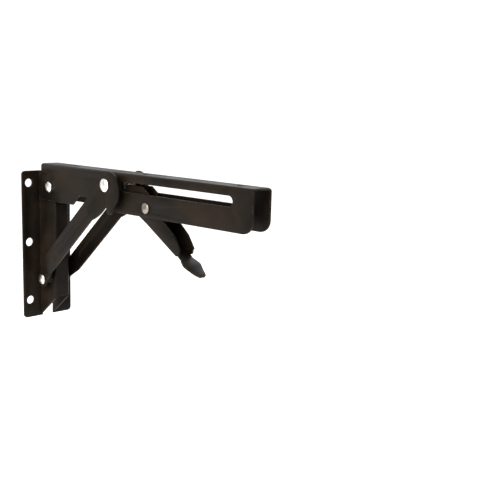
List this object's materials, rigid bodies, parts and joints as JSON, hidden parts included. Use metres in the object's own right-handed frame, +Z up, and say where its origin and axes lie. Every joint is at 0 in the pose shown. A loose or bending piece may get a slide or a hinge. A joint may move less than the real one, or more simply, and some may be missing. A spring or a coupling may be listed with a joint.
{
  "type": "folding shelf bracket",
  "caption": "Folding shelf bracket: wall plate with channel, hinged slotted arm, paired strut bars and a spring release lever.",
  "frame": {"origin": "centre of the middle row of screw holes, on the face against the wall", "axes": "+Y into the wall, the arm reaches out along -Y, +Z up, X along the wall"},
  "size_m": [0.06, 0.317, 0.1686],
  "materials": {
    "black_paint": "satin",
    "zinc_steel": "bright",
    "dark_steel": "dull"
  },
  "bodies": {
    "base": {"wall_plate": "black_paint", "hinge_rivet": "zinc_steel", "hinge_sleeve": "zinc_steel", "hinge_washer_left": "zinc_steel", "hinge_washer_right": "zinc_steel", "foot_rivet": "zinc_steel", "foot_sleeve": "zinc_steel", "foot_spacer_left": "zinc_steel", "foot_spacer_right": "zinc_steel"},
    "arm": {"arm": "black_paint", "lever_rivet": "dark_steel", "lever_sleeve": "zinc_steel", "return_spring": "dark_steel"},
    "struts": {"strut_left": "black_paint", "strut_right": "black_paint", "strut_rivet_left": "zinc_steel", "strut_rivet_right": "zinc_steel"},
    "studs": {"slide_stud_left": "zinc_steel", "slide_stud_right": "zinc_steel"},
    "lever": {"release_lever": "black_paint"}
  },
  "joints": [
    {"name": "arm_fold", "type": "hinge", "parent": "base", "child": "arm", "pos_m": [0, -0.0234, 0.0609], "axis": [1, 0, 0], "range_deg": [0, 90]},
    {"name": "strut_fold", "type": "hinge", "parent": "base", "child": "struts", "pos_m": [0, -0.013, -0.0403], "axis": [1, 0, 0], "range_deg": [0, 127]},
    {"name": "stud_slide", "type": "slide", "parent": "arm", "child": "studs", "axis": [0, -1, 0], "range_m": [0, 0.157]},
    {"name": "lever_squeeze", "type": "hinge", "parent": "arm", "child": "lever", "pos_m": [0, -0.1815, 0.0548], "axis": [-1, 0, 0], "range_deg": [0, 20], "stiffness_Nm_per_rad": 0.6, "springref_deg": -17.19}
  ],
  "couplings": [
    {"joint": "strut_fold", "follows": "arm_fold", "ratio": 1.4035},
    {"joint": "stud_slide", "follows": "arm_fold", "m_per_rad": 0.099106}
  ]
}
